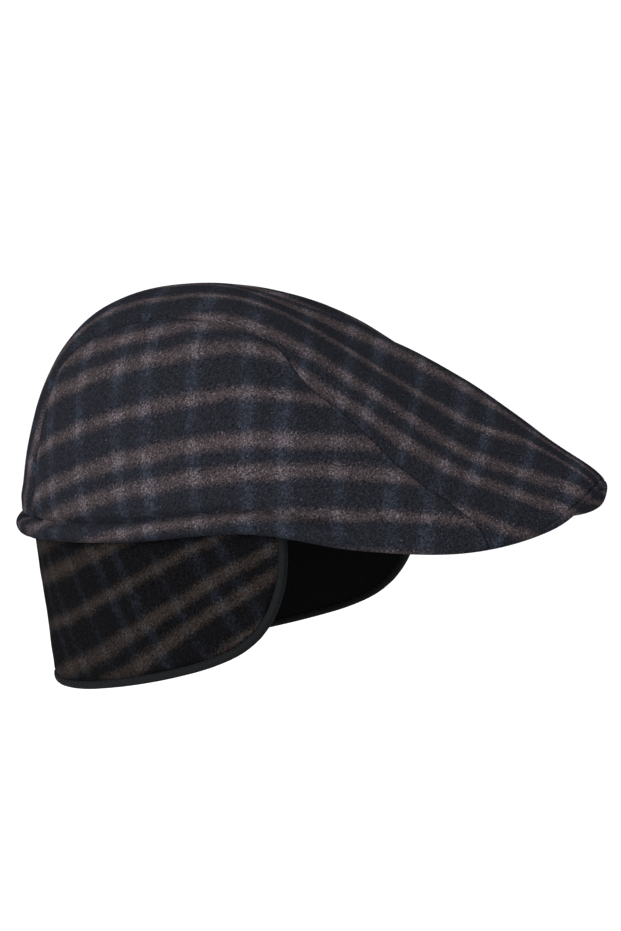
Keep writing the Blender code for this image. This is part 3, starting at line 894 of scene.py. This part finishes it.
def build_flap():
    """The flap's wool and lining, with the wool's size and area laid flat."""
    columns, rows = shares(260, 0.5), shares(46, 0.5)
    place = lambda u, v: flap_place(*flap_map(u, v, 2 * BINDING_RADIUS), 0.0)
    tree, cut, area = laid_flat(columns, rows, place)
    # The flap is cut on the slant, so its stripes rise towards the face. They look closer together than on
    # the crown, so they are drawn finer.
    guides = flap_place(40, 0.030, 0.0), flap_place(80, 0.030, 0.0), flap_place(60, 0.0, 0.0)
    slanting = on_grain(tree, cut, *guides, (-0.052, 0.0466), -FLAP_TURN, spread=FLAP_SPREAD)
    lay = tree, [flap_grain(spot) for spot in slanting]
    wool_band = cloth("ear_flap_wool", columns, rows, place, flap_face(0.0, FLAP_WALL, 1.0), flap_wool_painted_shade,
                      ["ear_flap"], lay)
    inner_face = flap_face(FLAP_WALL + CLEARANCE, LINING_WALL, 0.0)
    lining = cloth("flap_lining_fleece", columns, rows, place, inner_face, fleece,
                   ["flap_lining"], lay)
    guides = flap_place(-60, 0.030, 0.0), flap_place(60, 0.030, 0.0), flap_place(0, 0.0, 0.0)
    straight = on_grain(tree, cut, *guides, (0.0, 0.0), 0.0)
    length, width = (
        max(spot[axis] for spot in straight) - min(spot[axis] for spot in straight) for axis in (0, 1)
    )
    return wool_band, lining, (width, length), area


def edge_path():
    """Points along the middle of the binding, from the left front edge to the right, with two directions:
    out from the head, and inwards from the edge across the flap."""
    middle = (FLAP_WALL + CLEARANCE + LINING_WALL) / 2
    rows = [FLAP_ROWS * value for value in shares(240)]
    half = []
    for row in rows:
        spots = [flap_edge(row, inset) for inset in (BINDING_RADIUS, BINDING_RADIUS + 0.001)]
        here, inner = (flap_place(spot.x, spot.y, middle) for spot in spots)
        outer = flap_place(spots[0].x, spots[0].y, middle - 0.001)
        half.append((here, (outer - here).normalized(), (inner - here).normalized()))
    flip = Vector((-1, 1, 1))
    left = [tuple(vector * flip for vector in station) for station in half]
    return left + half[-2::-1]


def build_binding():
    """Bias tape folded over the flap's edge: a flat-sided band with a round outer fold."""
    path = edge_path()
    around = 20
    model = bmesh.new()
    sheet = model.loops.layers.uv.new("flat")
    run = [0.0]
    for before, after in zip(path, path[1:]):
        run.append(run[-1] + (after[0] - before[0]).length)
    spots = {}
    for vertex, index, step in grid(model, range(len(path)), range(around + 1)):
        turn = 2 * pi * step / around
        here, out, inwards = path[index]
        across = copysign(abs(cos(turn)) ** 0.75, cos(turn))
        thick = copysign(abs(sin(turn)) ** 0.75, sin(turn)) * (1 - 0.12 * blend_in(across, 0.2, 1.0))
        pucker = 1 + 0.05 * ripple(here, 0.006, 4.0)
        vertex.co = here + inwards * (across * TAPE_HALF_WIDTH - TAPE_OUT)
        vertex.co += out * thick * TAPE_HALF_THICK * pucker
        spots[vertex] = Vector((run[index], turn * TAPE_HALF_THICK))
    for face in model.faces:
        for corner in face.loops:
            corner[sheet].uv = spots[corner.vert]
    bmesh.ops.remove_doubles(model, verts=model.verts, dist=1e-6)
    ends = [edge for edge in model.edges if edge.is_boundary]
    bmesh.ops.holes_fill(model, edges=ends, sides=around + 2)
    if model.calc_volume(signed=True) < 0:
        bmesh.ops.reverse_faces(model, faces=model.faces)
    return finished("flap_binding_tape", model, tape, ["flap_binding"])


def build_stitches():
    """The line of stitches that holds the tape on, on both faces of the flap."""
    path = edge_path()
    model = bmesh.new()
    run, next_stitch = 0.0, 0.004
    shape = Matrix.Diagonal((TAPE_STITCH_LENGTH / 2, TAPE_STITCH_RADIUS, TAPE_STITCH_RADIUS, 1))
    for before, after in zip(path, path[1:]):
        step = (after[0] - before[0]).length
        if run + step >= next_stitch:
            part = (next_stitch - run) / step
            here, out, inwards = (start.lerp(end, part) for start, end in zip(before, after))
            turn = (after[0] - before[0]).to_track_quat("X", "Z").to_matrix().to_4x4()
            for side in (1, -1):
                spot = here + inwards * TAPE_STITCH_IN + out * side * TAPE_STITCH_HIGH
                bmesh.ops.create_uvsphere(model, u_segments=8, v_segments=5, radius=1,
                                          matrix=Matrix.Translation(spot) @ turn @ shape)
            next_stitch += TAPE_STITCH_PITCH
        run += step
    return finished("tape_stitches", model, thread)


build_panels()
build_under_peak()
band, lining, flat_size, flat_area = build_flap()
build_binding()
build_stitches()


def build_studio():
    """A pale floor far below the cap, soft light from all round, a large soft light from the wearer's right
    and a weak one from above."""
    model = bmesh.new()
    bmesh.ops.create_circle(model, cap_ends=True, segments=96, radius=6)
    bmesh.ops.translate(model, vec=(0, 0, -0.45), verts=model.verts)
    mesh = bpy.data.meshes.new("studio_floor")
    model.to_mesh(mesh)
    model.free()
    floor = bpy.data.objects.new("studio_floor", mesh)
    bpy.context.scene.collection.objects.link(floor)
    pale = bpy.data.materials.new("pale painted floor")
    pale.use_nodes = True
    pale.node_tree.nodes["Principled BSDF"].inputs["Base Color"].default_value = linear("#fbfbfb")
    pale.node_tree.nodes["Principled BSDF"].inputs["Roughness"].default_value = 1.0
    mesh.materials.append(pale)

    world = bpy.data.worlds.new("pale studio")
    world.use_nodes = True
    world.node_tree.nodes["Background"].inputs["Color"].default_value = (1, 1, 1, 1)
    world.node_tree.nodes["Background"].inputs["Strength"].default_value = 1.1
    bpy.context.scene.world = world

    for name, place, size, power in (
        ("key_light", (-1.5, 0.35, 0.75), 1.0, 58),
        ("top_light", (-0.2, -0.1, 1.6), 1.2, 5),
    ):
        light = bpy.data.lights.new(name, "AREA")
        light.energy = power
        light.size = size
        lamp = bpy.data.objects.new(name, light)
        lamp.location = place
        lamp.rotation_euler = (-Vector(place)).to_track_quat("-Z", "Y").to_euler()
        bpy.context.scene.collection.objects.link(lamp)


def place_camera():
    """The photograph's view: from the wearer's right, a little ahead and a little above."""
    side, above = radians(21.9), radians(5.9)
    target = Vector((0, -0.02475, 0.017))
    back = Vector((-cos(side) * cos(above), -sin(side) * cos(above), sin(above)))
    lens = bpy.data.cameras.new("camera")
    lens.sensor_width = 36
    lens.lens = 78.3
    lens.clip_start = 0.01
    camera = bpy.data.objects.new("camera", lens)
    camera.location = target + back * 0.85
    camera.rotation_euler = (-back).to_track_quat("-Z", "Y").to_euler()
    bpy.context.scene.collection.objects.link(camera)
    bpy.context.scene.camera = camera


build_studio()
place_camera()
bpy.context.scene.view_settings.view_transform = "Standard"
